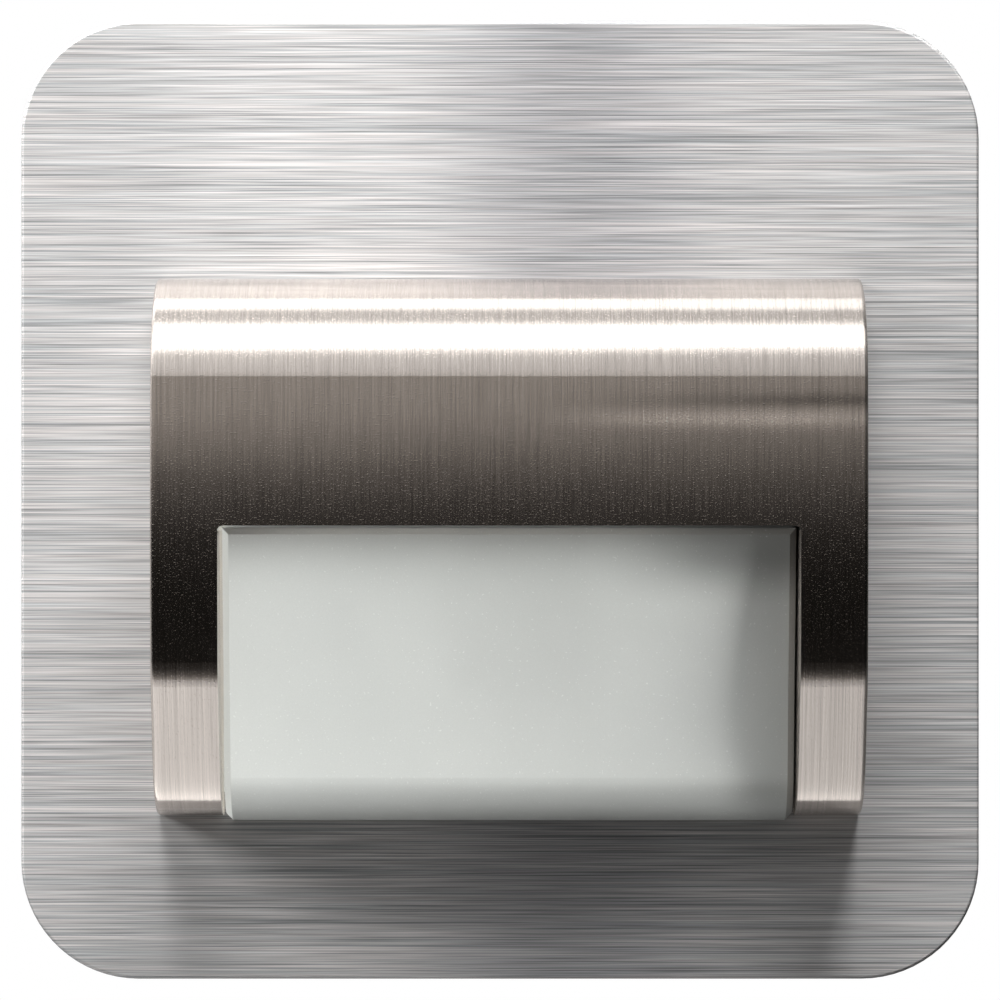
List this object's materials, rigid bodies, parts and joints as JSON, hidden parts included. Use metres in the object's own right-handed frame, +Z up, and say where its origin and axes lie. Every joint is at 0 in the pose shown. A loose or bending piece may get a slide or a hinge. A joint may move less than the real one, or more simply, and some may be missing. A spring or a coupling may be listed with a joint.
{
  "type": "recessed step light",
  "caption": "Recessed stair light: a square brushed plate, a cast hood over a frosted lens that throws light down, and behind it a sealed driver cup with sprung retaining arms.",
  "frame": {"origin": "middle of the face plate, on the wall plane (the back of the gasket)", "axes": "+Z up, -Y out of the wall towards the viewer, +Y into the wall box, +X to the viewer's right"},
  "size_m": [0.075, 0.0465, 0.075],
  "materials": {
    "plate_steel": "brushed sideways, satin",
    "hood_nickel": "cast zinc, satin nickel, fine upright brushing",
    "frosted_glass": "etched, greenish white",
    "silicone": "matt translucent silicone",
    "foam_rubber": "closed-cell foam",
    "housing_plastic": "moulded, finely grained",
    "white_plastic": "matt white",
    "board_metal": "white solder mask over metal core",
    "led_package": "yellow phosphor",
    "zinc_steel": "zinc plated",
    "spreader_metal": "rolled sheet",
    "board_green": "solder mask over glass fibre",
    "capacitor_sleeve": "shrunk sleeve",
    "film_case": "epoxy-dipped",
    "ferrite": "ferrite with dark varnish",
    "package_black": "moulded package",
    "resistor_body": "lacquered",
    "varistor_blue": "dipped disc",
    "brass": "drawn, dull",
    "tinned_brass": "tinned",
    "terminal_grey": "moulded polyamide",
    "spring_steel": "cold rolled"
  },
  "bodies": {
    "root": {"face_plate": "plate_steel", "hood": "hood_nickel", "lens": "frosted_glass", "lens_seal": "silicone", "hood_screws": "zinc_steel", "wall_gasket": "foam_rubber", "plate_studs": "zinc_steel", "stud_nuts": "zinc_steel", "rear_housing": "housing_plastic", "housing_seal": "silicone", "light_box": "white_plastic", "led_board": "board_metal", "led_chips": "led_package", "led_screws": "zinc_steel", "heat_spreader": "spreader_metal", "led_pins": "tinned_brass", "driver_board": "board_green", "driver_screws": "zinc_steel", "filter_capacitor": "capacitor_sleeve", "dropper_capacitor": "film_case", "choke": "ferrite", "bridge_rectifier": "package_black", "control_chip": "package_black", "fuse_resistor": "resistor_body", "surge_disc": "varistor_blue", "earth_strap": "brass", "terminal_pins": "tinned_brass", "terminal_block": "terminal_grey", "terminal_clamps": "brass", "terminal_screws": "zinc_steel", "block_screws": "zinc_steel", "cable_clamp": "housing_plastic", "clamp_screws": "zinc_steel", "arm_pin_right": "zinc_steel", "arm_pin_left": "zinc_steel"},
    "arm_right": {"retaining_arm_right": "spring_steel", "torsion_spring_right": "spring_steel"},
    "arm_left": {"retaining_arm_left": "spring_steel", "torsion_spring_left": "spring_steel"}
  },
  "joints": [
    {"name": "arm_right_swing", "type": "hinge", "parent": "root", "child": "arm_right", "pos_m": [0.02615, 0.019, 0], "axis": [0, 0, -1], "range_deg": [0, 18], "stiffness_Nm_per_rad": 0.2},
    {"name": "arm_left_swing", "type": "hinge", "parent": "root", "child": "arm_left", "pos_m": [-0.02615, 0.019, 0], "axis": [0, 0, 1], "range_deg": [0, 18], "stiffness_Nm_per_rad": 0.2}
  ]
}
